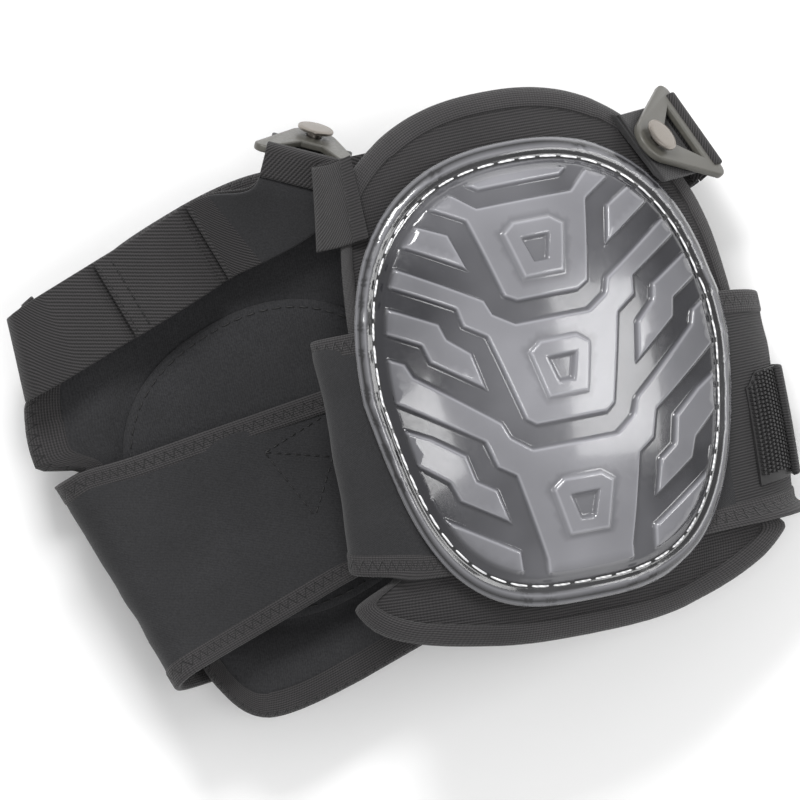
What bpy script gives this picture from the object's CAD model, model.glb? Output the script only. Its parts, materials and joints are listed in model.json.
import json
import math
import bpy
import bmesh
import numpy as np
from mathutils import Matrix, Vector, noise
from mathutils.geometry import delaunay_2d_cdt


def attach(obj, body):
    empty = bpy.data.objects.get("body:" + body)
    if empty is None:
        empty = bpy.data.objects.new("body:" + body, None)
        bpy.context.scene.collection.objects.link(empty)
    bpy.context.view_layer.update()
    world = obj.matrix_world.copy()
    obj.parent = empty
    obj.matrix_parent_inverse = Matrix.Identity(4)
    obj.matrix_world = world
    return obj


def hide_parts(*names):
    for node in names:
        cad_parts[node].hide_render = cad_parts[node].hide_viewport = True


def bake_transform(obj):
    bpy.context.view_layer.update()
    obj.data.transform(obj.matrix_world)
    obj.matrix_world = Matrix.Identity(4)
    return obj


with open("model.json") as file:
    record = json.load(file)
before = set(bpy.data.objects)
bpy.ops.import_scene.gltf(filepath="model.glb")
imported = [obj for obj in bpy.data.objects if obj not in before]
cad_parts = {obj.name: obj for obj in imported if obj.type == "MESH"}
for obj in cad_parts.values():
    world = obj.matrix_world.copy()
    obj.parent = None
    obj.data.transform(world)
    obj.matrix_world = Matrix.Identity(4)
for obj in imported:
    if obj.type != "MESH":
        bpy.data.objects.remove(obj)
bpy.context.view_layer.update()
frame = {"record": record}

record = frame["record"]
scene = bpy.context.scene
mm = 0.001
jointOf = {j["name"]: j for j in record["behaviour"]["joints"]}
mountOf = {m["name"]: m for m in record["mounts"]}
print("frame loaded")


def mix(a, b, k):
    return a + (b - a) * k


def ease(k):
    c = min(max(k, 0.0), 1.0)
    return c * c * (3 - 2 * c)


def power(v, n):
    return math.copysign(abs(v) ** n, v)


# ---- the curved section that all the layers follow, in mm ----

leg = {
    "spineR": 400, "crownR": 240, "crownHalf": 78, "flankR": 46, "flankEnd": 60,
    "foldR": 9, "sag": 8, "tight": -24.6, "capRise": 13.5, "padDepth": 19,
}
crownEnd = math.asin(leg["crownHalf"] / leg["crownR"])
flankEnd = math.radians(leg["flankEnd"])
crownZ = leg["crownR"] * (math.cos(crownEnd) - 1)
crownArc = leg["crownR"] * crownEnd
flankArc = crownArc + leg["flankR"] * (flankEnd - crownEnd)
foldArc = flankArc + leg["foldR"] * (math.pi - flankEnd)
foldX = leg["crownHalf"] + leg["flankR"] * (math.sin(flankEnd) - math.sin(crownEnd)) \
    - leg["foldR"] * math.sin(flankEnd)
flankZ = crownZ + leg["flankR"] * (math.cos(flankEnd) - math.cos(crownEnd))
foldZ = flankZ - leg["foldR"] * math.cos(flankEnd)
foldDrop = leg["foldR"] * (1 + math.cos(flankEnd))
halfLoop = foldArc + foldX

# Each pad's own lie. inward, bulge, corners and flare are how far, in mm, its sides shift
# level with the floor: the inner side in, the inner side out above the band, the two
# lower corners out, and the outer side out at the top and bottom of the band.
pads = {
    "left": {
        "turn": 11, "lean": 20, "pressedFrom": -200, "hang": 17, "strapSpread": 0.56,
        "up": 127, "down": 118, "topRound": 2.4, "runOut": -halfLoop - 40,
        "stud": Vector((69, 88, -15.5)), "studTurn": (46, 38, -26),
        "inward": 12, "bulge": 0, "corners": (24, 18), "lowRound": 3.6, "flare": (4, 6),
        "seed": 3.1,
    },
    "right": {
        "turn": 31, "lean": None, "pressedFrom": -20, "hang": 0, "strapSpread": 0.68,
        "up": 110, "down": 111, "topRound": 2.9, "runOut": -halfLoop - 12,
        "stud": Vector((71, 102, -27)), "studTurn": (105, 45, 0),
        "inward": 6, "bulge": 21, "corners": (0, 0), "lowRound": 6, "flare": (0, 0),
        "seed": 8.7,
    },
}
for side, pad in pads.items():
    turn = Matrix.Rotation(math.radians(pad["turn"]), 4, "Z")
    if side == "left":
        turn = turn @ Matrix.Rotation(math.radians(pad["lean"]), 4, "Y")
        at = Vector(jointOf["left_buckle_swivel"]["pos_m"]) / mm - turn @ pad["stud"]
    else:
        turn = turn @ Matrix.Diagonal((1, 1, -1, 1))
        at = Vector(mountOf["right_cap_rest"]["pos_m"]) / mm + Vector((0, 0, leg["capRise"]))
    pad["side"] = side
    pad["matrix"] = Matrix.Scale(mm, 4) @ Matrix.Translation(at) @ turn
    level = (turn.inverted() @ Vector((0, 0, 1))).normalized()
    out = Vector((1, 0, 0)) - level * level.x
    pad["outward"] = out / out.x


def hangs(pad, x):
    return pad["hang"] if x > 0 else 0


def behind(pad, x):
    free = foldZ - leg["foldR"] + leg["sag"] * (1 - (x / foldX) ** 2) ** 2
    pressed = leg["tight"] + (foldZ - leg["foldR"] - leg["tight"]) * (x / foldX) ** 2
    k = ease((x - pad["pressedFrom"]) / 50)
    return mix(free, pressed, k) - hangs(pad, x) * ease((x - 20) / 70)


def section(pad, s):
    a, side = abs(s), math.copysign(1, s)
    if a <= crownArc:
        p = a / leg["crownR"]
        return side * leg["crownR"] * math.sin(p), leg["crownR"] * (math.cos(p) - 1), side * p
    if a <= flankArc:
        p = crownEnd + (a - crownArc) / leg["flankR"]
        return (side * (leg["crownHalf"] + leg["flankR"] * (math.sin(p) - math.sin(crownEnd))),
                crownZ + leg["flankR"] * (math.cos(p) - math.cos(crownEnd)), side * p)
    if a <= foldArc:
        p = flankEnd + (a - flankArc) / leg["foldR"]
        drop = leg["foldR"] * (math.cos(flankEnd) - math.cos(p))
        return (side * (foldX + leg["foldR"] * math.sin(p)),
                flankZ - drop * (1 + hangs(pad, side) / foldDrop), side * p)
    x = side * (halfLoop - a)
    return x, behind(pad, x), math.pi


def roundLoop(pad, s):
    return section(pad, s + 2 * halfLoop if s < -halfLoop else s)


# The sides move level with the floor, as the weight of the pad spreads them
def settle(pad, p):
    left = pad["inward"]
    left -= pad["bulge"] * ease((p.y - 30) / 14) * ease((86 - p.y) / 18)
    shift = left * ease((-p.x - 64) / 36)
    right = mix(pad["flare"][0], pad["flare"][1], ease((40 - p.y) / 130))
    shift += right * ease((p.x - 74) / 30)
    low = ease((-p.y - 74) / 14)
    shift -= pad["corners"][0] * low * ease((-p.x - 40) / 52)
    shift += pad["corners"][1] * low * ease((p.x - 50) / 46)
    return p + pad["outward"] * shift


def onLeg(pad, s, t, d):
    x, z, slope = roundLoop(pad, s)
    p, r = t / leg["spineR"], leg["spineR"] + z + d * math.cos(slope)
    return settle(pad, Vector((x + d * math.sin(slope), r * math.sin(p),
                               r * math.cos(p) - leg["spineR"])))


def strapAt(pad, s, w, d):
    x, z, slope = roundLoop(pad, s)
    k = ease((abs(s) - crownArc) / (foldArc - crownArc))
    tilt = math.radians(mix(13.4, 5, k))
    h = 0.9 * z + d * math.cos(slope)
    x += d * math.sin(slope)
    spread = pad["strapSpread"] - w * 0.01
    x = math.copysign(min(abs(x), 64) + max(abs(x) - 64, 0) * spread, x)
    p = Vector((x, 92 + h * math.sin(tilt) + w * math.cos(tilt),
                -9.8 + h * math.cos(tilt) - w * math.sin(tilt)))
    return settle(pad, p)


def studAxes(pad):
    a, b, c = (math.radians(v) for v in pad["studTurn"])
    x = Vector((math.cos(a) * math.cos(b), math.cos(a) * math.sin(b), -math.sin(a)))
    y = Vector((-math.sin(b), math.cos(b), 0))
    z = Vector((math.sin(a) * math.cos(b), math.sin(a) * math.sin(b), math.cos(a)))
    return x * math.cos(c) + y * math.sin(c), y * math.cos(c) - x * math.sin(c), z


def atStud(pad, x, y, z):
    axes = studAxes(pad)
    return pad["stud"] + axes[0] * x + axes[1] * y + axes[2] * z


# Outlines of the body, the cap and the knee cushion at an angle
def bodyOutline(pad, a):
    n = pad["topRound"] if math.sin(a) > 0 else pad["lowRound"]
    return (101 * power(math.cos(a), 2 / n),
            (pad["up"] if math.sin(a) > 0 else pad["down"]) * power(math.sin(a), 2 / n))


cap = {"halfWide": 86, "halfTall": 102, "topRound": 2.45, "lowRound": 3.2, "narrow": 0.0018}
cushion = {"s": -11, "t": -10, "halfWide": 76, "halfTall": 71, "round": 2.3, "seam": 0.955}


def capOutline(pad, a):
    n = cap["topRound"] if math.sin(a) > 0 else cap["lowRound"]
    t = cap["halfTall"] * power(math.sin(a), 2 / n)
    wide = cap["halfWide"] * power(math.cos(a), 2 / n)
    return wide * (1 + min(t, 0) * cap["narrow"]), t


def cushionOutline(pad, a):
    n = 2 / cushion["round"]
    return (cushion["halfWide"] * power(math.cos(a), n) + cushion["s"],
            cushion["halfTall"] * power(math.sin(a), n) + cushion["t"])


def bandEdges(s):
    if s > -foldArc:
        k = min((s + foldArc) / (2 * foldArc), 1)
        return mix(-79, -87, k), mix(36, 17, k)
    k = (-s - foldArc) / (2 * halfLoop - 2 * foldArc)
    return mix(-79, -76, k), mix(36, -10, k)


def overBand(s, t):
    low, high = bandEdges(s)
    return ease((t - low + 12) / 12) * ease((high + 12 - t) / 12)


def flangeUnder(s, t):
    return mix(3.2, 4.6, overBand(s, t))


# Small folds and dents, the same each run
def crease(pad, x, y, scale, depth):
    return depth * noise.noise(Vector((x / scale, y / scale, pad["seed"])))


# ---- materials ----

def hexColor(text):
    parts = [int(text[i:i + 2], 16) / 255 for i in (1, 3, 5)]
    return tuple(c / 12.92 if c < 0.04045 else ((c + 0.055) / 1.055) ** 2.4
                 for c in parts) + (1.0,)


def addNode(tree, kind, settings=None, **links):
    node = tree.nodes.new(kind)
    for key, value in (settings or {}).items():
        if isinstance(key, int):
            node.inputs[key].default_value = value
        elif key in node.inputs and not hasattr(node, key):
            node.inputs[key].default_value = value
        else:
            setattr(node, key, value)
    for name, source in links.items():
        spot = int(name[1:]) if name[0] == "i" and name[1:].isdigit() else name.replace("_", " ")
        tree.links.new(source, node.inputs[spot])
    return node


def newMaterial(name):
    material = bpy.data.materials.new(name)
    material.use_nodes = True
    tree = material.node_tree
    return material, tree, tree.nodes["Principled BSDF"]


# Noise on Object coordinates, in cells to a metre
def grainOf(tree, scale, detail, rough=0.5):
    spots = addNode(tree, "ShaderNodeTexCoord")
    return addNode(tree, "ShaderNodeTexNoise",
                   {"Scale": scale, "Detail": detail, "Roughness": rough},
                   Vector=spots.outputs["Object"]).outputs["Fac"]


def spread(tree, value, low, high, toLow, toHigh):
    return addNode(tree, "ShaderNodeMapRange", {1: low, 2: high, 3: toLow, 4: toHigh},
                   i0=value).outputs[0]


def calc(tree, operation, a, b=None):
    node = addNode(tree, "ShaderNodeMath", {"operation": operation}, i0=a)
    if isinstance(b, (int, float)):
        node.inputs[1].default_value = b
    elif b is not None:
        tree.links.new(b, node.inputs[1])
    return node.outputs[0]


def tint(tree, low, high, share):
    return addNode(tree, "ShaderNodeMix",
                   {"data_type": "RGBA", 6: hexColor(low), 7: hexColor(high)},
                   i0=share).outputs[2]


# Sockets are linked and plain numbers are set, by input name
def setShader(tree, shader, **values):
    for name, value in values.items():
        spot = shader.inputs[name.replace("_", " ")]
        if isinstance(value, (int, float)):
            spot.default_value = value
        else:
            tree.links.new(value, spot)


def bumpBy(tree, shader, height, depth, strength=1.0):
    bump = addNode(tree, "ShaderNodeBump", {"Strength": strength, "Distance": depth * mm},
                   Height=height)
    setShader(tree, shader, Normal=bump.outputs[0])


# A sum of wave and noise heights drives both a bump and a slight colour change
def finishCloth(tree, shader, height, base, dark, depth, contrast):
    weave = spread(tree, height, 0.5 - contrast, 0.5 + contrast, 0.0, 1.0)
    fade = spread(tree, grainOf(tree, 28.0, 3.0), 0.3, 0.7, 0.86, 1.12)
    tinted = addNode(tree, "ShaderNodeVectorMath", {"operation": "SCALE"},
                     i0=tint(tree, dark, base, weave), Scale=fade)
    setShader(tree, shader, Base_Color=tinted.outputs[0])
    bumpBy(tree, shader, height, depth)


# Stripes of one pitch in mm, at an angle, from the piece's own UV in metres
def stripes(tree, uv, pitch, angle, wobble=0.0):
    turned = addNode(tree, "ShaderNodeMapping", {"Rotation": (0, 0, math.radians(angle))},
                     Vector=uv)
    return addNode(tree, "ShaderNodeTexWave",
                   {"wave_type": "BANDS", "bands_direction": "X",
                    "Scale": math.pi * 2 / (pitch * mm) / 20, "Distortion": wobble,
                    "Detail": 1.0, "Detail Scale": 2.0},
                   Vector=turned.outputs[0]).outputs["Fac"]


def sumOf(tree, parts):
    total = None
    for source, weight in parts:
        step = calc(tree, "MULTIPLY", source, weight)
        total = step if total is None else calc(tree, "ADD", total, step)
    return total


# pitches lists (mm, angle, weight, wobble); grain is the share of fine fibre noise
def makeCloth(name, base, dark, pitches, grain, grainMm, depth, contrast, rough, sheen):
    material, tree, shader = newMaterial(name)
    uv = addNode(tree, "ShaderNodeUVMap").outputs[0]
    parts = [(stripes(tree, uv, mmPitch, angle, wobble), weight)
             for mmPitch, angle, weight, wobble in pitches]
    parts.append((grainOf(tree, 1 / (grainMm * mm), 4.0, 0.7), grain))
    finishCloth(tree, shader, sumOf(tree, parts), base, dark, depth, contrast)
    setShader(tree, shader, Roughness=rough, Sheen_Weight=sheen, Sheen_Roughness=0.5)
    return material


# Ribbed oxford polyester: crosswise ribs about 1.4 mm apart over a fine warp
oxford = makeCloth("ribbedOxford", "#343233", "#161516",
                   [(1.4, 90, 0.5, 0.6), (0.9, 0, 0.22, 1.2)], 0.28, 0.6, 0.5, 0.17, 0.85, 0.06)
# Neoprene with a brushed knit face: nearly even, with fine fibre and a soft sheen
neoprene = makeCloth("brushedNeoprene", "#2a2a2c", "#1a1a1c",
                     [(0.8, 62, 0.16, 2.0)], 0.84, 0.8, 0.24, 0.12, 0.9, 0.1)
# The knit that lines the leg side has a deeper pile, so it is darker
lining = makeCloth("brushedLining", "#323234", "#202022",
                   [(1.1, 20, 0.1, 3.0)], 0.9, 0.9, 0.3, 0.14, 0.95, 0.1)
# Ribbed elastic of the band's free end, with fine lines round the leg
ribbedElastic = makeCloth("ribbedElastic", "#333233", "#1b1a1b",
                          [(1.3, 90, 0.7, 0.3)], 0.3, 0.4, 0.45, 0.17, 0.82, 0.06)
# Woven elastic in a diagonal twill, 1.5 mm from line to line
twillElastic = makeCloth("twillElastic", "#373536", "#141313",
                         [(1.5, 58, 0.5, 0.5), (1.0, 0, 0.2, 0.8)], 0.3, 0.5, 0.5, 0.15,
                         0.82, 0.06)
# Flat nylon webbing under the ring
webbing = makeCloth("nylonWebbing", "#353435", "#1f1e1f",
                    [(1.2, 45, 0.4, 0.4), (1.2, -45, 0.3, 0.4)], 0.3, 0.5, 0.25, 0.3, 0.7, 0.08)
# Closed-cell foam, seen by nobody while the cover is on
foam = makeCloth("closedCellFoam", "#2b2b2c", "#1b1b1c",
                 [(2.0, 0, 0.1, 2.0)], 0.9, 1.0, 0.2, 0.3, 0.95, 0.0)


# Binding tape: ribs along it and a black zigzag seam down its middle, in the piece's
# own UV, where V runs across the tape from 0 to its width
def makeBinding(name, width, pitch):
    material, tree, shader = newMaterial(name)
    uv = addNode(tree, "ShaderNodeUVMap").outputs[0]
    split = addNode(tree, "ShaderNodeSeparateXYZ", i0=uv)
    swing = calc(tree, "PINGPONG", split.outputs[0], pitch * mm / 2)
    line = calc(tree, "ADD", swing, (width - pitch) / 2 * mm)
    off = calc(tree, "SUBTRACT", split.outputs[1], calc(tree, "ADD", line, swing))
    thread = spread(tree, calc(tree, "ABSOLUTE", off), 0.35 * mm, 0.8 * mm, 1.0, 0.0)
    height = sumOf(tree, [(stripes(tree, uv, 1.1, 90, 0.2), 0.45),
                          (stripes(tree, uv, 1.3, 0, 0.8), 0.25),
                          (grainOf(tree, 2000.0, 3.0), 0.3)])
    finishCloth(tree, shader, height, "#3a3839", "#1a191a", 0.45, 0.18)
    cloth = shader.inputs["Base Color"].links[0].from_socket
    sewn = addNode(tree, "ShaderNodeMix", {"data_type": "RGBA", 7: hexColor("#171617")},
                   i0=thread, i6=cloth)
    bump = shader.inputs["Normal"].links[0].from_node
    tree.links.new(sumOf(tree, [(height, 1.0), (thread, 1.2)]), bump.inputs["Height"])
    setShader(tree, shader, Base_Color=sewn.outputs[2], Roughness=0.82, Sheen_Weight=0.1)
    return material


bandTape = makeBinding("bindingTape", 22, 4.5)
rimTape = makeBinding("bindingTapeRim", 30, 5.0)

# Moulded nylon hooks: satin, a little lighter on top
hookNylon, tree, shader = newMaterial("mouldedNylonHooks")
worn = grainOf(tree, 900.0, 2.0)
setShader(tree, shader, Base_Color=tint(tree, "#121112", "#2a292a", worn), Roughness=0.5)
bumpBy(tree, shader, worn, 0.1, 0.5)


# Bonded polyester thread: twisted plies every 1.2 mm and a soft gloss
def makeThread(name, low, high, rough, relief):
    material, tree, shader = newMaterial(name)
    spots = addNode(tree, "ShaderNodeTexCoord")
    plies = addNode(tree, "ShaderNodeTexWave", {"Scale": 260.0, "bands_direction": "DIAGONAL"},
                    Vector=spots.outputs["Object"]).outputs["Fac"]
    setShader(tree, shader, Base_Color=tint(tree, low, high, plies), Roughness=rough)
    if relief:
        bumpBy(tree, shader, plies, 0.1, relief)
    return material


whiteThread = makeThread("bondedThreadWhite", "#c9c9cc", "#ffffff", 0.45, 0.6)
blackThread = makeThread("bondedThreadBlack", "#0d0d0d", "#1c1c1c", 0.5, 0)


# Clear moulded TPU over grey gel, glossy and finely scuffed from kneeling. The mesh's
# milk attribute says how milky it looks: most where the gel is thick, least in the flange.
def makeTpu(name, low, high, transmission, rough):
    material, tree, shader = newMaterial(name)
    scuff = grainOf(tree, 420.0, 5.0, 0.65)
    milk = addNode(tree, "ShaderNodeAttribute", {"attribute_name": "milk"})
    veil = spread(tree, grainOf(tree, 22.0, 2.0), 0.3, 0.7, -0.1, 0.1)
    share = addNode(tree, "ShaderNodeMath", {"operation": "ADD", "use_clamp": True},
                    i0=milk.outputs["Fac"], i1=veil).outputs[0]
    setShader(tree, shader, Base_Color=tint(tree, low, high, share),
              Roughness=spread(tree, scuff, 0.3, 0.7, rough - 0.05, rough + 0.1), IOR=1.5,
              Transmission_Weight=transmission, Coat_Weight=0.5, Coat_Roughness=0.06)
    bumpBy(tree, shader, scuff, 0.06, 0.35)
    return material


milkyTpu = makeTpu("clearTpuOverGel", "#2c2c31", "#b4b4ba", 0.3, 0.14)
clearTpu = makeTpu("clearTpuFlange", "#232325", "#9a9a9f", 0.3, 0.16)

# Set silicone gel, cloudy and soft
gel, tree, shader = newMaterial("greyGel")
setShader(tree, shader, Roughness=0.35,
          Base_Color=tint(tree, "#8a8a90", "#b0b0b6", grainOf(tree, 30.0, 2.0)))


# Nickel-plated steel with fine scratches, and satin moulded acetal
def makeHard(name, low, high, metal, rough, pitch, depth):
    material, tree, shader = newMaterial(name)
    grain = grainOf(tree, 1 / (pitch * mm), 5.0)
    setShader(tree, shader, Base_Color=tint(tree, low, high, grain), Metallic=metal,
              Roughness=spread(tree, grain, 0.3, 0.7, rough - 0.08, rough + 0.08))
    bumpBy(tree, shader, grain, depth, 0.4)
    return material


steel = makeHard("nickelledSteel", "#7c7670", "#9c968f", 1.0, 0.36, 0.5, 0.03)
acetal = makeHard("greyAcetal", "#45443f", "#5c5a54", 0.0, 0.36, 1.2, 0.06)
print("materials made")


# ---- building helpers ----

# Puts a finished bmesh in the world and ties it to its body and to its pad's CAD node
def finishPiece(name, bm, pad, materials, body, node=None, smooth=180):
    name = pad["side"] + name
    for vert in bm.verts:
        vert.co = pad["matrix"] @ vert.co
    bmesh.ops.recalc_face_normals(bm, faces=bm.faces)
    mesh = bpy.data.meshes.new(name)
    bm.to_mesh(mesh)
    bm.free()
    mesh.shade_smooth()
    if smooth < 180:
        mesh.set_sharp_from_angle(angle=math.radians(smooth))
    for material in materials:
        mesh.materials.append(material)
    piece = bpy.data.objects.new(name, mesh)
    scene.collection.objects.link(piece)
    if body:
        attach(piece, body)
    if node:
        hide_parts(pad["side"] + "_" + node)
    return piece


# A grid of len(along) by len(across) points, each placed by spot, closed across and
# capped at both ends. Its UV is in metres: along the piece, and round the profile.
def sweep(along, across, spot, uvOf, closedAlong=False):
    bm = bmesh.new()
    n, m = len(along), len(across)
    bmesh.ops.create_grid(bm, x_segments=n if closedAlong else n - 1, y_segments=m, size=0.5)
    layer = bm.loops.layers.uv.new("UVMap")
    cells = n if closedAlong else n - 1
    place = {v: (round((v.co.x + 0.5) * cells), round((v.co.y + 0.5) * m)) for v in bm.verts}
    for face in bm.faces:
        for loop in face.loops:
            i, j = place[loop.vert]
            loop[layer].uv = uvOf(i, j)
    for vert, (i, j) in place.items():
        vert.co = spot(along[i % n], across[j % m])
    bmesh.ops.remove_doubles(bm, verts=bm.verts, dist=0.004)
    if not closedAlong:
        bmesh.ops.holes_fill(bm, edges=[e for e in bm.edges if e.is_boundary])
    return bm


# Shares across a slab and which face they are on, with extra ones at the edges
def slabProfile(count, width, thick):
    near = [0, 0.06, 0.18, 0.5, 1.0]
    shares = [v * thick / 2 / width for v in near]
    shares += [mix(shares[-1], 1 - shares[-1], k / count) for k in range(1, count)]
    shares += [1 - v * thick / 2 / width for v in reversed(near)]
    return [(w, 1) for w in shares] + [(w, -1) for w in reversed(shares[1:-1])]


# How far a slab's face stands from its middle, at a share of the way across
def roundEdge(w, width, half):
    r = min(min(w, 1 - w) * width / half, 1)
    return half * math.sqrt(max(1 - (1 - r) ** 2, 0))


# A sheet of cloth round the leg
def slab(pad, stations, edges, low, thick, count=20, on=onLeg, wave=None):
    ends = edges(stations[len(stations) // 2])
    width = abs(ends[1] - ends[0])
    profile = slabProfile(count, width, thick)

    def spot(s, point):
        w, face = point
        a, b = edges(s)
        d = low(s) + thick / 2 + face * roundEdge(w, width, thick / 2)
        t = mix(a, b, w)
        if wave:
            d += wave(s, t)
        return on(pad, s, t, d)

    def uvOf(i, j):
        s = stations[i]
        w = profile[j % len(profile)][0]
        a, b = edges(s)
        return s * mm, mix(a, b, w) * mm

    return sweep(stations, profile, spot, uvOf)


def steps(a, b, size):
    n = max(int(math.ceil(abs(b - a) / size)), 1)
    return [mix(a, b, k / n) for k in range(n + 1)]


# A closed layer inside an outline, from the middle of its lower face out to the rim and
# back over the top
def layer(pad, outline, rings, low, high, count=128):
    heart = [outline(pad, k * math.pi / 2) for k in range(4)]
    cx, cy = (heart[0][0] + heart[2][0]) / 2, (heart[1][1] + heart[3][1]) / 2
    rows = [(0.0, -1)] + [(r, -1) for r in rings] + [(r, 1) for r in reversed(rings)] + [(0.0, 1)]

    def flat(row, j):
        a = j % count * math.tau / count
        x, y = outline(pad, a)
        return mix(cx, x, row[0]), mix(cy, y, row[0])

    def spot(row, j):
        s, t = flat(row, j)
        height = high(row[0], s, t) if row[1] > 0 else low(row[0], s, t)
        return onLeg(pad, s, t, height)

    def uvOf(i, j):
        s, t = flat(rows[i], j)
        return s * mm, t * mm

    return sweep(rows, list(range(count)), spot, uvOf)


# A point of a path on the curved section, with its direction outwards
def pathPoint(pad, s, t, d, out=1, on=onLeg):
    here = on(pad, s, t, d)
    return here, (on(pad, s, t, d + out) - here).normalized()


# Short stitches along a path of points and outward directions
def stitchRun(bm, path, length, gap, thick, flat=0.6):
    spans = [(b - a).length for (a, _), (b, _) in zip(path, path[1:])]
    total = sum(spans)

    def at(distance):
        for (a, up), (b, upNext), span in zip(path, path[1:], spans):
            if distance <= span or span == spans[-1] and distance < span + 1e-3:
                k = distance / max(span, 1e-6)
                return a.lerp(b, k), up.lerp(upNext, k).normalized(), (b - a).normalized()
            distance -= span
        a, b = path[-2][0], path[-1][0]
        return path[-1][0], path[-1][1], (b - a).normalized()

    count = max(int(total / (length + gap)), 1)
    for k in range(count):
        start = k * total / count
        made = bmesh.ops.create_uvsphere(bm, u_segments=6, v_segments=6, radius=0.5)
        for v in made["verts"]:
            x, y, share = v.co.x, v.co.y, v.co.z + 0.5
            spot, up, way = at(start + share * length)
            cross = way.cross(up).normalized()
            swell = 1 / max(math.hypot(x, y) / 0.5, 0.2) ** 0.6
            v.co = (spot + cross * x * thick * swell
                    + up * (y * thick * flat * swell + thick * 0.25 * math.sin(math.pi * share)))


print("helpers ready")

# ---- the clear cap ----

# Outlines of the tread's plateaus on one half, from the middle outwards, in mm
tread = {
    "deep": 3.2, "panelLift": 2.3, "bossLift": 1.5, "pocket": 2.2, "slope": 1.7,
    "groove": 1.3, "flange": 2.2, "bead": 0.7,
    "panels": {
        "top": [(0, 81), (-18.8, 81), (-33, 91), (-44, 108), (0, 112)],
        "upper": [(0, 75), (-21, 75), (-38, 90), (-52, 84), (-28, 69), (-19.7, 34), (-14, 30.7),
                  (0, 30.7)],
        "middle": [(0, 23), (-16.3, 23), (-24.7, 28.5), (-27, 35), (-90, 75.6), (-90, 62.4),
                   (-41, 32.7), (-39.7, 24.7), (-30.5, 18.5), (-20.8, -19.3), (-16.3, -22.7),
                   (0, -22.7)],
        "lower": [(0, -31), (-18.8, -31), (-27, -24.8), (-29.7, -18), (-63, 8.5), (-65.5, 15),
                  (-90, 29), (-90, 8.6), (-39.7, -25.7), (-36.3, -37.3), (-28.8, -42.3),
                  (-20.5, -80), (-20.5, -110), (0, -110)],
    },
    "ribs": [
        [(-35.5, 66), (-79, 90), (-90, 85), (-30.5, 47.3)],
        [(-48, 29), (-90, 53.2), (-90, 38.6), (-58.3, 20.2), (-56.3, 12.2), (-33.3, -4.8),
         (-37, 13.8), (-46, 21.8)],
        [(-47, -29), (-60.5, -19), (-90, -3.4), (-90, -15), (-57, -40.7), (-53.8, -49.3),
         (-32, -63), (-36.3, -46), (-44.3, -40.7)],
        [(-29.7, -74), (-61, -54.8), (-63.8, -45.7), (-90, -26), (-90, -110), (-27.7, -110)],
    ],
    "bosses": [52.5, 0.7, -58.5],
}


def wholeOutline(half):
    return half + [(-x, y) for x, y in reversed(half) if abs(x) > 1e-6]


def treadOutlines():
    plateaus = [wholeOutline(half) for half in tread["panels"].values()]
    for rib in tread["ribs"]:
        plateaus.append(rib)
        plateaus.append([(-x, y) for x, y in rib])
    bosses = [wholeOutline([(0, y + 13), (-8.5, y + 13), (-14.5, y + 8.5), (-9.5, y - 13),
                            (0, y - 13)]) for y in tread["bosses"]]
    pockets = [wholeOutline([(0, y + 5.5), (-7, y + 5.5), (-3.5, y - 6.7), (0, y - 6.7)])
               for y in tread["bosses"]]
    return plateaus, bosses, pockets


# The same outline drawn a little way inside itself
def insetLoop(points, distance):
    pts = [Vector(p) for p in points]
    area = sum(a.cross(b) for a, b in zip(pts, pts[1:] + pts[:1]))
    sign = 1 if area > 0 else -1
    loop = []
    for before, here, after in zip(pts[-1:] + pts[:-1], pts, pts[1:] + pts[:1]):
        a, b = (here - before).normalized(), (after - here).normalized()
        na, nb = Vector((-a.y, a.x)) * sign, Vector((-b.y, b.x)) * sign
        loop.append(here + (na + nb) * distance / max(1 + na.dot(nb), 0.35))
    return loop


# How far inside an outline each point is, negative outside
def insideBy(points, outline):
    a = np.array([tuple(p) for p in outline], float)
    b = np.roll(a, -1, axis=0)
    best = np.full(len(points), 1e9)
    inside = np.zeros(len(points), bool)
    for (ax, ay), (bx, by) in zip(a, b):
        ex, ey = bx - ax, by - ay
        px, py = points[:, 0] - ax, points[:, 1] - ay
        k = np.clip((px * ex + py * ey) / (ex * ex + ey * ey + 1e-12), 0, 1)
        best = np.minimum(best, np.hypot(px - k * ex, py - k * ey))
        cross = (ay > points[:, 1]) != (by > points[:, 1])
        with np.errstate(divide="ignore", invalid="ignore"):
            hit = points[:, 0] < (bx - ax) * (points[:, 1] - ay) / (by - ay) + ax
        inside ^= cross & hit
    return np.where(inside, best, -best)


def rise(distance, width):
    k = np.clip(distance / width, 0, 1)
    return k * k * (3 - 2 * k)


# Share of the way out to the cap's outline
def capShare(points):
    share = np.zeros(len(points))
    for i, (x, y) in enumerate(points):
        n = cap["topRound"] if y > 0 else cap["lowRound"]
        wide = cap["halfWide"] * (1 + min(y, 0) * cap["narrow"])
        share[i] = (abs(x / wide) ** n + abs(y / cap["halfTall"]) ** n) ** (1 / n)
    return share


def ringLoop(pad, r, count):
    loop = []
    for k in range(count):
        x, y = capOutline(pad, k * math.tau / count)
        wide = 1 + min(y * r, 0) * cap["narrow"]
        loop.append(Vector((x * r / (1 + min(y, 0) * cap["narrow"]) * wide, y * r)))
    return loop


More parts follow.
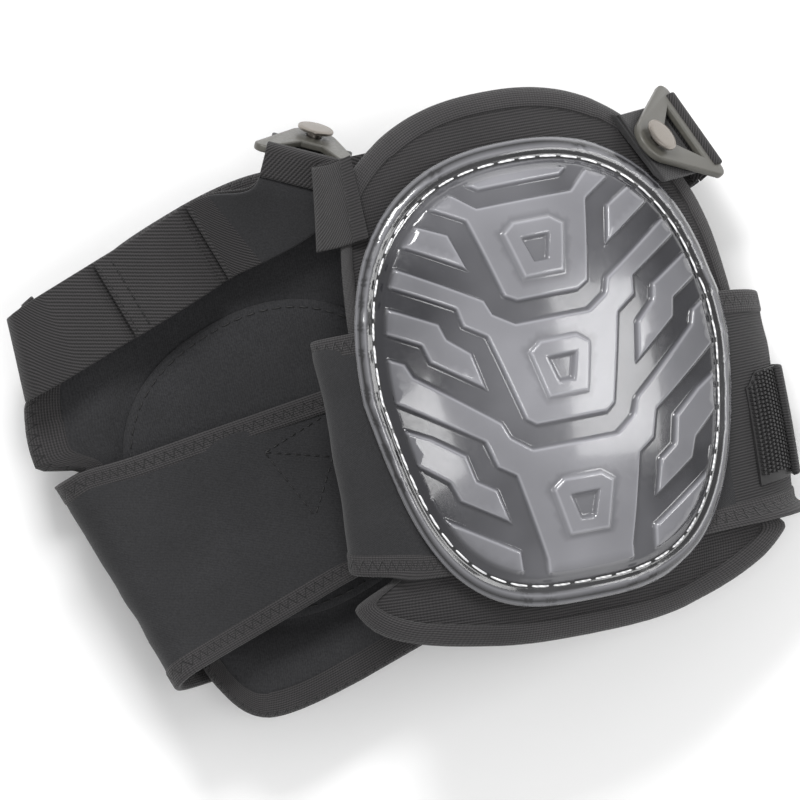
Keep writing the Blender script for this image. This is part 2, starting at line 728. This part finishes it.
def makeCapPlan(pad):
    plateaus, bosses, pockets = treadOutlines()
    points, edges = [], []

    def addLoop(loop, size):
        first = len(points)
        for a, b in zip(loop, loop[1:] + loop[:1]):
            n = max(int((b - a).length / size), 1)
            points.extend(a.lerp(b, k / n) for k in range(n))
        last = len(points)
        edges.extend((i, i + 1 if i + 1 < last else first) for i in range(first, last))
        return list(range(first, last))

    rim = addLoop(ringLoop(pad, 1.0, 200), 20)
    for r in (0.99, 0.975, 0.95, 0.935, 0.925, 0.915, 0.905, 0.895, 0.882, 0.868, 0.855, 0.84):
        addLoop(ringLoop(pad, r, 200), 20)
    slope = tread["slope"]
    for group in (plateaus, bosses, pockets):
        for outline in group:
            for share in (-0.45, 0, 0.2, 0.5, 0.8, 1, 1.4):
                addLoop(insetLoop(outline, share * slope), 1.5)
    # loose points only where the surface is even
    spacing = 2.6
    loose = np.array([(i * spacing + (j % 2) * spacing / 2, j * spacing * 0.98)
                      for i in range(-34, 35) for j in range(-40, 41)])
    clear = np.ones(len(loose), bool)
    for outline in plateaus + bosses + pockets:
        deep = insideBy(loose, outline)
        clear &= (deep < -1.6) | (deep > slope * 1.4 + 0.9)
    clear &= capShare(loose) < 0.82
    points.extend(Vector(p) for p in loose[clear].tolist())
    verts, _, faces, _, _, _ = delaunay_2d_cdt(points, edges, [rim], 1, 1e-3)
    plan = np.array([tuple(v) for v in verts])
    share = capShare(plan)
    return plan, [f for f in faces if max(share[i] for i in f) < 1.002]


def capHeights(pad, plan):
    plateaus, bosses, pockets = treadOutlines()
    slope = tread["slope"]
    share = capShare(plan)
    under = np.array([flangeUnder(x, y) for x, y in plan])
    body = leg["capRise"] - 0.6 - 2.5 * (share / 0.9) ** 4
    keep = rise(0.862 - share, 0.02)
    high = np.max([insideBy(plan, p) for p in plateaus], axis=0)
    lift = rise(high, slope) * keep * tread["panelLift"]
    boss = np.max([insideBy(plan, p) for p in bosses], axis=0)
    hole = np.max([insideBy(plan, p) for p in pockets], axis=0)
    lift += rise(boss, slope) * tread["bossLift"] - rise(hole, slope) * tread["pocket"]
    top = body - tread["deep"] + lift
    # the wall drops to a groove for the stitches, then the flange rises and rounds off
    groove = under + tread["groove"]
    flange = under + tread["flange"]
    wall = rise(share - 0.862, 0.043)
    ridge = rise(share - 0.916, 0.02)
    edge = rise(share - 0.972, 0.028)
    outer = groove * (1 - ridge) + flange * ridge - edge * 1.3
    bead = tread["bead"] * np.exp(-((share - 0.952) / 0.016) ** 2)
    height = top * (1 - wall) + (outer + bead * ridge) * wall
    inner = body - 2.6 - tread["deep"] * 0.9
    inner = inner * (1 - rise(share - 0.835, 0.05)) + under * rise(share - 0.835, 0.05)
    inner = np.minimum(inner, height - 0.7)
    # thick gel looks milky in the middle; the slopes and the flange's rims catch light
    thick = rise(high, slope) * keep
    edge = sum(np.exp(-((depth - slope * 0.85) / 0.55) ** 2) for depth in (high, boss)) * keep
    dip = 0.22 * rise(hole, slope) + 0.16 * np.exp(-((boss + 0.6) / 0.8) ** 2)
    side = np.clip(np.abs(plan[:, 0]) / 80, 0, 1) ** 1.6
    tone = 0.28 + 0.34 * thick - 0.38 * side + 0.34 * edge - dip
    rim = np.exp(-((share - 0.952) / 0.007) ** 2) + np.exp(-((share - 0.992) / 0.006) ** 2)
    tone = np.where(share > 0.9, rim * 0.8, tone)
    return share, height, inner, np.clip(tone, 0, 1)


def makeCap(pad):
    plan, faces = makeCapPlan(pad)
    share, top, inner, tone = capHeights(pad, plan)
    bm = bmesh.new()
    layerUv = bm.loops.layers.uv.new("UVMap")
    milk = bm.verts.layers.float.new("milk")
    for height, flip in ((top, False), (inner, True)):
        used = set(i for f in faces for i in f)
        verts = [bm.verts.new(onCap(pad, x, y, h)) if i in used else None
                 for i, ((x, y), h) in enumerate(zip(plan, height))]
        for vert, value in zip(verts, tone):
            if vert:
                vert[milk] = value
        for f in faces:
            order = list(reversed(f)) if flip else f
            face = bm.faces.new([verts[i] for i in order])
            for loop, i in zip(face.loops, order):
                loop[layerUv].uv = (plan[i][0] * mm, plan[i][1] * mm)
            face.material_index = 1 if sum(share[i] for i in f) / len(f) > 0.9 else 0
    rims = [e for e in bm.edges if e.is_boundary]
    bridged = bmesh.ops.bridge_loops(bm, edges=rims)
    for face in bridged["faces"]:
        face.material_index = 1
    side = pad["side"]
    finishPiece("Cap", bm, pad, [milkyTpu, clearTpu], side + "_pad", "cap")
    # the stitches lie in the groove
    bm = bmesh.new()
    path = []
    for k in range(241):
        a = k * math.tau / 240
        x, y = capOutline(pad, a)
        x, y = x * 0.912, y * 0.912
        path.append(pathPoint(pad, x, y, flangeUnder(x, y) + 1.45, on=onCap))
    stitchRun(bm, path, 8.2, 1.6, 1.1)
    finishPiece("CapStitches", bm, pad, [whiteThread], side + "_pad",
                "cap_thread")
    # the gel fills the cap from just under its inner wall
    rings = [0.1, 0.2, 0.3, 0.4, 0.5, 0.6, 0.7, 0.76, 0.8, 0.83]

    def gelTop(r, s, t):
        return leg["capRise"] - 3.2 - 2.5 * (r / 0.9) ** 4 - tread["deep"] * 0.9 - 0.6 \
            - 4 * ease((r - 0.76) / 0.07)

    bm = layer(pad, capOutline, rings, lambda r, s, t: flangeUnder(s, t) + 0.1, gelTop, 96)
    finishPiece("Gel", bm, pad, [gel], side + "_pad", "gel_core")


# The cap keeps its moulded shape, so the settling of the cloth doesn't reach it
def onCap(pad, s, t, d):
    x, z, slope = section(pad, s)
    p, r = t / leg["spineR"], leg["spineR"] + z + d * math.cos(slope)
    return Vector((x + d * math.sin(slope), r * math.sin(p), r * math.cos(p) - leg["spineR"]))


# ---- the padded body ----

body = {"cover": 1.2}


def coverTop(r, s, t):
    return -4 * r ** 6


def liningLow(r, s, t):
    return -leg["padDepth"] + 11 * r ** 6


def ringShares(count, last=1.0):
    return [last * (k / count) ** 0.8 for k in range(1, count + 1)]


def cushionShare(s, t):
    x, y = (s - cushion["s"]) / cushion["halfWide"], (t - cushion["t"]) / cushion["halfTall"]
    n = cushion["round"]
    return (abs(x) ** n + abs(y) ** n) ** (1 / n)


def makeBody(pad):
    side = pad["side"]
    ride = side + "_pad"

    def coverHigh(r, s, t):
        return coverTop(r, s, t) + crease(pad, s, t, 24, 0.5) * ease((r - 0.7) / 0.2)

    def coverLow(r, s, t):
        return coverTop(r, s, t) - body["cover"]

    bm = layer(pad, bodyOutline, ringShares(30), coverLow, coverHigh, 144)
    finishPiece("Cover", bm, pad, [oxford], ride, "front_cover")

    # the leg side is quilted: it sinks to the seam round the cushion and swells beside it
    def liningUnder(r, s, t):
        seam = cushionShare(s, t)
        dip = 1.6 * math.exp(-((seam - 1.03) / 0.05) ** 2)
        swell = 1.5 * math.exp(-((seam - 1.25) / 0.12) ** 2) * ease((0.97 - r) / 0.1)
        return liningLow(r, s, t) + dip - swell + crease(pad, s + 50, t, 30, 0.6)

    bm = layer(pad, bodyOutline, ringShares(44), liningUnder,
               lambda r, s, t: liningLow(r, s, t) + 2.6, 160)
    finishPiece("Lining", bm, pad, [lining], ride, "lining")

    def foamTop(r, s, t):
        return coverTop(r, s, t) - body["cover"] - 0.3

    bm = layer(pad, bodyOutline, ringShares(10, 0.94), lambda r, s, t: liningLow(r, s, t) + 3.0,
               foamTop, 96)
    finishPiece("Foam", bm, pad, [foam], ride, "foam_pad")

    # the knee cushion: a crowned pad, sewn down round its edge
    def cushionLow(r, s, t):
        crown = 3.6 * (1 - r ** 5) ** 0.6
        return -leg["padDepth"] - 0.4 - crown - crease(pad, s, t, 22, 0.5) * (1 - r ** 4)

    bm = layer(pad, cushionOutline, ringShares(30), cushionLow,
               lambda r, s, t: -leg["padDepth"] - 0.2, 128)
    piece = finishPiece("KneeCushion", bm, pad, [lining], ride, "knee_cushion")
    bm = bmesh.new()
    path = []
    for k in range(161):
        x, y = cushionOutline(pad, k * math.tau / 160)
        x, y = mix(cushion["s"], x, cushion["seam"]), mix(cushion["t"], y, cushion["seam"])
        path.append(pathPoint(pad, x, y, cushionLow(cushion["seam"], x, y) - 0.1, -1))
    stitchRun(bm, path, 4.2, 1.6, 0.7)
    finishPiece("CushionStitches", bm, pad, [blackThread], ride)

    # the tape round the edge: (in from the edge, height) round its section
    roll = [(9.0, -2.9), (8.8, -1.9), (8.2, -1.45), (6.5, -1.35), (4, -1.6), (1.6, -2.2),
            (0, -3.0), (-1.5, -4.3), (-2.1, -6.1), (-1.6, -8.0), (0, -9.3), (2, -10.0),
            (5, -11.6), (7.8, -12.7), (8.6, -12.6), (8.9, -11.6), (6, -9.5), (3, -8), (3, -5.5),
            (6, -4)]
    count = 220

    def spot(k, point):
        a = -k * math.tau / count
        x, y = bodyOutline(pad, a)
        long = math.hypot(x, y)
        r = 1 - point[0] / long * (0.92 if abs(math.sin(2 * a)) > 0.8 else 1.0)
        return onLeg(pad, x * r, y * r, point[1] + crease(pad, x, y, 9, 0.25))

    spans = [0.0]
    for a, b in zip(roll, roll[1:] + roll[:1]):
        spans.append(spans[-1] + math.hypot(a[0] - b[0], a[1] - b[1]))
    turns = [0.0]
    for k in range(count):
        a, b = (bodyOutline(pad, -i * math.tau / count) for i in (k, k + 1))
        turns.append(turns[-1] + math.hypot(a[0] - b[0], a[1] - b[1]))
    bm = sweep(list(range(count)), roll, spot, lambda i, j: (turns[i] * mm, spans[j] * mm), True)
    finishPiece("EdgeBinding", bm, pad, [rimTape], ride, "edge_binding")


# ---- the calf band ----

band = {"low": 1.1, "thick": 2.4, "end": 112, "back": 126, "tab": 106, "tape": 11.0,
        "tabTop": -18, "tabBottom": -70, "patchFrom": 88}
bandFrom = band["back"] - 2 * halfLoop
tabLow = band["low"] + band["thick"] + 0.3 + 1.2 + 0.3


def bandLift(s):
    return (tabLow - band["low"]) * ease((-s - halfLoop - 20) / 50)


def makeBand(pad):
    side = pad["side"]
    ride = side + "_pad"
    stations = steps(bandFrom, -foldArc - 6, 3.0) + steps(-foldArc - 4, -flankArc + 6, 1.6) \
        + steps(-flankArc + 8, flankArc - 6, 3.0) + steps(flankArc - 4, band["end"], 1.6)

    def wave(s, t):
        free = ease((abs(s) - 60) / 40)
        pull = crease(pad, s * 0.35, t + 200, 16, 0.9) + crease(pad, s, t, 38, 1.1)
        return pull * free * (0.35 if side == "left" and s < -foldArc else 1.0)

    def low(s):
        return band["low"] + bandLift(s)

    bm = slab(pad, stations, lambda s: (bandEdges(s)[0] + 1, bandEdges(s)[1] - 1), low,
              band["thick"], 44, wave=wave)
    for face in bm.faces:
        mid = face.calc_center_median()
        face.material_index = 1 if mid.x > 78 and mid.z > -46 else 0
    piece = finishPiece("CalfBand", bm, pad, [neoprene, ribbedElastic], ride,
                        "calf_band")
    # cut from flat sheet: the widest and longest of the band, and its tapering area
    widths = [bandEdges(s)[1] - bandEdges(s)[0] - 2 for s in stations]
    area = sum((b - a) * (v + w) / 2 for a, b, v, w in
               zip(stations, stations[1:], widths, widths[1:]))
    long = band["end"] - bandFrom
    print(side, "band flat, mm", round(max(widths)), round(long), "area, mm2", round(area))
    for name, edge, way in (("CalfUpperBinding", 1, -1), ("CalfLowerBinding", 0, 1)):
        def edges(s, edge=edge, way=way):
            t = bandEdges(s)[edge] + way * -0.4
            return (t, t + way * band["tape"]) if way > 0 else (t + way * band["tape"], t)

        def tapeWave(s, t, way=way, edge=edge):
            return wave(s, bandEdges(s)[edge])

        def uvShift(bm):
            layerUv = bm.loops.layers.uv.active
            for face in bm.faces:
                for loop in face.loops:
                    u, v = loop[layerUv].uv
                    t = edges(u / mm)
                    loop[layerUv].uv = (u, v - t[0] * mm + 5.2 * mm)

        bm = slab(pad, stations, edges, lambda s: low(s) - 0.45, band["thick"] + 0.9, 8,
                  wave=tapeWave)
        uvShift(bm)
        node = "calf_upper_binding" if edge else "calf_lower_binding"
        finishPiece(name, bm, pad, [bandTape], ride, node)

    # hooks moulded in rows on the band's front end
    patchLow = band["low"] + band["thick"] + 0.2
    rows = steps(band["patchFrom"], band["end"] - 0.5, 1.5)
    bm = slab(pad, rows, lambda s: (band["tabBottom"], band["tabTop"]
                                    - 7 * ease((band["patchFrom"] + 7 - s) / 7)),
              lambda s: patchLow, 0.9, 10)
    hooks = {"across": 2.1, "along": 1.9, "tall": 1.5, "margin": 5}
    for i, s in enumerate(steps(band["patchFrom"] + 1.4, band["end"] - 2, hooks["across"])):
        top = band["tabTop"] - 7 * ease((band["patchFrom"] + 7 - s) / 7) - 1.2
        for t in steps(band["tabBottom"] + hooks["margin"], top, hooks["along"]):
            made = bmesh.ops.create_cone(bm, cap_ends=True, segments=6, radius1=0.62,
                                         radius2=0.5, depth=1.0)
            base = patchLow + 0.8
            for v in made["verts"]:
                k = v.co.z + 0.5
                v.co = onLeg(pad, s + v.co.x * 1.2, t + v.co.y * (1.0 + 0.4 * k)
                             + 0.5 * k * (-1) ** i, base + k * hooks["tall"])
    finishPiece("CalfHooks", bm, pad, [hookNylon], ride, "calf_hook_patch", 40)

    # the free end that grips them, with a rolled hem
    rows = steps(band["tab"], band["back"] + 0.4, 1.2)

    def hem(s, t):
        return 0.9 * math.exp(-((s - band["tab"] - 2.2) / 2.2) ** 2)

    bm = slab(pad, rows, lambda s: (band["tabBottom"], band["tabTop"]), lambda s: tabLow,
              band["thick"], 26, wave=hem)
    tab = finishPiece("CalfTab", bm, pad, [ribbedElastic],
                      None if side == "left" else ride, "calf_tab")
    if side == "left":
        # it bends where it is sewn to the band
        middle = (band["tabBottom"] + band["tabTop"]) / 2
        start, end = (pad["matrix"] @ onLeg(pad, s, middle, tabLow)
                      for s in (band["back"] - 0.4, band["back"] - 10))
        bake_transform(tab)
        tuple(start)
        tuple(end)

    # the corner patch sewn to the outside of the loop: a triangle of stitches
    if side == "right":
        bm = bmesh.new()
        apex, top, foot, flank = (15.5, -2.6), (-15, -2), (11, -42), (-9, -21)
        for (s0, t0), (s1, t1) in ((apex, top), (apex, foot), (apex, flank), (flank, foot)):
            s0, s1 = s0 - halfLoop, s1 - halfLoop
            path = []
            for k in range(13):
                s, t = mix(s0, s1, k / 12), mix(t0, t1, k / 12)
                path.append(pathPoint(pad, s, t, low(s) + band["thick"] + wave(s, t) + 0.1))
            stitchRun(bm, path, 3.0, 1.4, 0.6)
        finishPiece("BandStitches", bm, pad, [blackThread], ride)


# ---- the thigh strap ----

strap = {"wide": 38, "thick": 1.8, "start": -72, "hinge": -8 - halfLoop, "end": 46,
         "returnLow": 3.4, "hookLow": 2.1, "reach": 34, "drop": 9, "bar": 1.8}


# The strap's path as (middle, across, outside, distance), from the ring to its start
def strapPath(pad):
    def rowAt(s):
        a = strapAt(pad, s, 0, 0)
        return (a, (strapAt(pad, s, 1, 0) - a).normalized(),
                (strapAt(pad, s, 0, 1) - a).normalized())

    axes = studAxes(pad)
    first = rowAt(pad["runOut"])
    last = atStud(pad, strap["reach"] - 2.6, 0, -strap["drop"] - 0.5)
    curve = [first[0], first[0] + Vector((14, 0, 0)), last - axes[2] * 12, last]
    path = []
    for i in range(40, 0, -1):
        k = i / 40
        j = 1 - k
        spot = curve[0] * j ** 3 + curve[1] * 3 * j * j * k + curve[2] * 3 * j * k * k \
            + curve[3] * k ** 3
        way = (curve[1] - curve[0]) * j * j + (curve[2] - curve[1]) * 2 * j * k \
            + (curve[3] - curve[2]) * k * k
        across = first[1].lerp(axes[1], ease(k)).normalized()
        path.append((pad["runOut"] - i * 2.2, spot, across, across.cross(way).normalized()))
    for s in steps(pad["runOut"], strap["start"], 2.0):
        path.append((s,) + rowAt(s))
    return path


def strapLayer(pad, path, fromS, toS, low, thick, half, wave=None, count=16):
    rows = [row for row in path if fromS <= row[0] <= toS]
    profile = slabProfile(count, 2 * half, thick)

    def spot(row, point):
        w, face = point
        s, middle, across, outside = row
        d = low + thick / 2 + face * roundEdge(w, 2 * half, thick / 2)
        if wave:
            d += wave(s, w)
        return middle + across * mix(-half, half, w) + outside * d

    def uvOf(i, j):
        return rows[i][0] * mm, mix(-half, half, profile[j % len(profile)][0]) * mm

    return sweep(rows, profile, spot, uvOf)


def makeStrap(pad):
    side = pad["side"]
    ride = side + "_pad"
    path = strapPath(pad)
    ends = (path[0][0] - 1, strap["start"])

    def wave(s, w):
        return 0.7 * crease(pad, s, w * 20, 26, 1.0) * ease((ends[1] - 6 - s) / 12)

    bm = strapLayer(pad, path, ends[0], ends[1], 0, strap["thick"], strap["wide"] / 2,
                    lambda s, w: max(wave(s, w), -0.3))
    finishPiece("ThighStrap", bm, pad, [twillElastic], ride, "thigh_strap")
    hinge = strap["hinge"]
    lift = strap["returnLow"]
    bm = strapLayer(pad, path, ends[0], hinge - 0.4, lift, strap["thick"], strap["wide"] / 2,
                    wave)
    # near the ring the return is brushed neoprene, up to a seam
    seam = path[0][0] + 40 * 2.2 - 26 if side == "right" else hinge - 30
    layerUv = bm.loops.layers.uv.active
    for face in bm.faces:
        face.material_index = 1 if face.loops[0][layerUv].uv.x / mm < seam else 0
    finishPiece("StrapReturn", bm, pad, [twillElastic, neoprene], ride,
                "thigh_strap_return")
    flap = side + "_thigh_flap" if side == "right" else ride

    def hem(s, w):
        toEnd = hinge + strap["end"] - s
        return wave(s, w) * 0.6 + 0.5 * ease((9 - toEnd) / 1.5) \
            - 0.35 * math.exp(-((toEnd - 8) / 1.0) ** 2)

    bm = strapLayer(pad, path, hinge + 0.4, hinge + strap["end"], lift, strap["thick"],
                    strap["wide"] / 2, hem)
    finishPiece("StrapEnd", bm, pad, [twillElastic], flap, "thigh_strap_end")
    bm = strapLayer(pad, path, hinge + 4, hinge + strap["end"] - 2, strap["hookLow"], 1.0,
                    strap["wide"] / 2 - 2)
    finishPiece("StrapHooks", bm, pad, [hookNylon], flap, "thigh_hook_patch")
    bm = strapLayer(pad, path, strap["start"] - 14, strap["start"] + 1, strap["hookLow"], 1.2,
                    strap["wide"] / 2)
    finishPiece("StrapAnchor", bm, pad, [oxford], ride, "thigh_anchor")

    # the stitched hem lines across the loose end and the return
    bm = bmesh.new()
    for s, top in ((hinge + strap["end"] - 8, lift + strap["thick"]),
                   (hinge + strap["end"] - 2.5, lift + strap["thick"] + 0.4)):
        row = min(path, key=lambda r: abs(r[0] - s))
        line = [(row[1] + row[2] * w + row[3] * (top + 0.1), row[3]) for w in range(-17, 18, 2)]
        stitchRun(bm, line, 3.0, 1.2, 0.6)
    finishPiece("StrapStitches", bm, pad, [blackThread], flap)


# ---- the stud, the ring and the elastic round its bar ----

def makeBuckle(pad):
    side = pad["side"]
    ride = side + "_pad"
    turnsWith = side + "_buckle"
    axes = studAxes(pad)
    studFrame = Matrix((axes[0], axes[1], axes[2])).transposed().to_4x4()
    studFrame.translation = pad["stud"]

    # parts turned on a lathe: (radius, height) round each profile
    turned = {
        "StudHead": ([(0, 8.9), (5.2, 8.85), (6.6, 8.75), (7.0, 8.55), (7.4, 8.7), (7.9, 8.4),
                      (8.0, 7.9), (7.8, 7.3), (7.2, 7.1), (0, 7.1)], "stud_head"),
        "StudShank": ([(0, 7.05), (3.0, 7.05), (3.0, 1.2), (3.2, 0.4), (3.2, 0.05), (0, 0.05)],
                      "stud_shank"),
        "StudWasher": ([(3.3, 0.95), (5.0, 1.0), (5.4, 0.8), (5.5, 0.4), (5.4, 0.05),
                        (3.3, 0.05)], "stud_washer"),
    }
    for name, (profile, node) in turned.items():
        bm = bmesh.new()
        ring = [bm.verts.new((r, 0, z)) for r, z in profile]
        edges = [bm.edges.new(pair) for pair in zip(ring, ring[1:])]
        if profile[0][0] > 0:
            edges.append(bm.edges.new((ring[-1], ring[0])))
        bmesh.ops.spin(bm, geom=ring + edges, cent=(0, 0, 0), axis=(0, 0, 1), steps=48,
                       angle=math.tau, use_merge=True)
        bmesh.ops.remove_doubles(bm, verts=bm.verts, dist=0.002)
        bm.transform(studFrame)
        finishPiece(name, bm, pad, [steel], ride, node, 35)

    # the webbing tab, with its foot sewn to the cover
    slant = (axes[1] - Vector((0, 0, 0.16))).normalized()
    foot = onCap(pad, 62, 92, 0.9)
    stops = [(foot + Vector((0, 0, 0.9)), slant), (atStud(pad, -7, 0, -0.9), axes[1]),
             (atStud(pad, 10, 0, -0.9), axes[1]), (atStud(pad, 27, 0, -0.9), axes[1])]
    rows = []
    for (a, wa), (b, wb) in zip(stops, stops[1:]):
        rows += [(a.lerp(b, k / 8), wa.lerp(wb, k / 8).normalized(), axes[2]) for k in range(8)]
    rows.append((stops[-1][0], axes[1], axes[2]))
    wide, thick = 36, 1.8
    profile = slabProfile(12, wide, thick)

    def spot(row, point):
        w, face = point
        return row[0] + row[1] * mix(-wide / 2, wide / 2, w) \
            + row[2] * (face * roundEdge(w, wide, thick / 2))

    bm = sweep(rows, profile, spot,
               lambda i, j: (i * 1.6 * mm, profile[j % len(profile)][0] * wide * mm))
    finishPiece("StudTab", bm, pad, [webbing], ride, "stud_tab")

    # the ring, cut from its outline and rounded
    ringPlan = {"apex": 11, "cornerY": strap["wide"] / 2 + 1.2, "cornerX": strap["reach"] - 2.4,
                "cornerR": 4.2, "thick": 3.4, "bevel": 0.9}

    def arc(cx, cy, r, a0, a1, n):
        return [(cx + r * math.cos(math.radians(mix(a0, a1, k / n))),
                 cy + r * math.sin(math.radians(mix(a0, a1, k / n)))) for k in range(n + 1)]

    g = ringPlan
    lean = math.degrees(math.atan2(g["cornerY"], g["cornerX"]))
    outer = arc(0, 0, g["apex"] - g["bevel"], 90 + lean * 0.55, 270 - lean * 0.55, 20) \
        + arc(g["cornerX"], -g["cornerY"], g["cornerR"] - g["bevel"], -125, 0, 8) \
        + arc(g["cornerX"], g["cornerY"], g["cornerR"] - g["bevel"], 0, 125, 8)
    b = g["bevel"]
    slotX = strap["reach"] - strap["bar"]
    holes = [arc(0, 0, 3.3 + b, 360, 0, 28)[:-1],
             [(slotX - 2.3 + 0.2, -19.2), (slotX - 2.3 + 0.2, 19.2), (slotX - 0.2, 19.2),
              (slotX - 0.2, -19.2)],
             [(12.5 - b, -4.5 - b * 0.6), (12.5 - b, 4.5 + b * 0.6),
              (strap["reach"] - 7.5 + b, 14.5 + b), (strap["reach"] - 7.5 + b, -14.5 - b)]]
    curve = bpy.data.curves.new(side + "RingOutline", "CURVE")
    curve.dimensions = "2D"
    curve.fill_mode = "BOTH"
    for outline in [outer] + holes:
        spline = curve.splines.new("POLY")
        spline.points.add(len(outline) - 1)
        for point, (x, y) in zip(spline.points, outline):
            point.co = (x, y, 0, 1)
        spline.use_cyclic_u = True
    curve.extrude = g["thick"] / 2 - g["bevel"]
    curve.bevel_depth = g["bevel"]
    curve.bevel_resolution = 3
    shape = bpy.data.objects.new(side + "RingOutline", curve)
    scene.collection.objects.link(shape)
    bpy.context.view_layer.update()
    flat = bpy.data.meshes.new_from_object(shape.evaluated_get(
        bpy.context.evaluated_depsgraph_get()))
    bm = bmesh.new()
    bm.from_mesh(flat)
    bpy.data.objects.remove(shape)
    bpy.data.meshes.remove(flat)
    bmesh.ops.remove_doubles(bm, verts=bm.verts, dist=0.002)
    bm.transform(studFrame @ Matrix.Translation((0, 0, 1.3 + g["thick"] / 2)))
    finishPiece("Ring", bm, pad, [acetal], turnsWith, "ring", 40)

    # the elastic turned round the ring's outer bar
    r = strap["bar"] + 0.3 + 0.75
    mid, over = 1.3 + g["thick"] / 2, 1.3 + g["thick"] + 1.05
    bend = [(-r, z) for z in steps(-strap["drop"], mid, 1.5)]
    bend += [(-r * math.cos(math.radians(a)), mid + (over - mid) * math.sin(math.radians(a)))
             for a in range(12, 180, 12)]
    bend += [(r, z) for z in steps(mid, -strap["drop"], 1.5)]
    rows = []
    for before, here, after in zip(bend[:1] + bend, bend, bend[1:] + bend[-1:]):
        way = Vector((after[0] - before[0], 0, after[1] - before[1])).normalized()
        outside = Vector((-way.z, 0, way.x))
        rows.append((Vector((strap["reach"] + here[0], 0, here[1])), outside))
    profile = slabProfile(14, strap["wide"], 1.5)

    def loopSpot(row, point):
        w, face = point
        p = row[0] + row[1] * (face * roundEdge(w, strap["wide"], 0.75))
        return Vector((p.x, mix(-strap["wide"] / 2, strap["wide"] / 2, w), p.z))

    bm = sweep(rows, profile, loopSpot,
               lambda i, j: (i * 1.4 * mm, profile[j % len(profile)][0] * strap["wide"] * mm))
    bm.transform(studFrame)
    finishPiece("RingElastic", bm, pad, [twillElastic], turnsWith,
                "ring_loop")


for side, pad in pads.items():
    makeBody(pad)
    makeBand(pad)
    makeStrap(pad)
    makeBuckle(pad)
    makeCap(pad)
    print(side, "pad made")

# ---- floor, light and camera ----

scene.view_settings.view_transform = "Standard"
studio = {"floor": "#ffffff", "sky": 0.62}
bpy.ops.mesh.primitive_plane_add(size=6, location=(0, 0, -0.0005))
floor = bpy.context.object
floor.name = "floor"
paper, tree, shader = newMaterial("matPaper")
shader.inputs["Base Color"].default_value = hexColor(studio["floor"])
shader.inputs["Roughness"].default_value = 0.9
floor.data.materials.append(paper)

world = bpy.data.worlds.new("studio")
scene.world = world
world.use_nodes = True
world.node_tree.nodes["Background"].inputs[0].default_value = (1, 1, 1, 1)
world.node_tree.nodes["Background"].inputs[1].default_value = studio["sky"]
for name, spot, size, watts in (("keyLight", (-0.3, 1.1, 1.4), 0.5, 20),
                                 ("sideLight", (1.2, 0.2, 1.0), 0.6, 7),
                                 ("topLight", (0.1, -0.2, 1.8), 0.5, 5)):
    lamp = bpy.data.lights.new(name, "AREA")
    lamp.size, lamp.energy = size, watts
    light = bpy.data.objects.new(name, lamp)
    light.location = spot
    light.rotation_euler = (-Vector(spot)).to_track_quat("-Z", "Y").to_euler()
    scene.collection.objects.link(light)

lens = bpy.data.cameras.new("overhead")
lens.type = "ORTHO"
lens.ortho_scale = 0.3496
camera = bpy.data.objects.new("overhead", lens)
camera.location = (0.0031, 0.0016, 1.2)
scene.collection.objects.link(camera)
scene.camera = camera

bpy.context.view_layer.update()
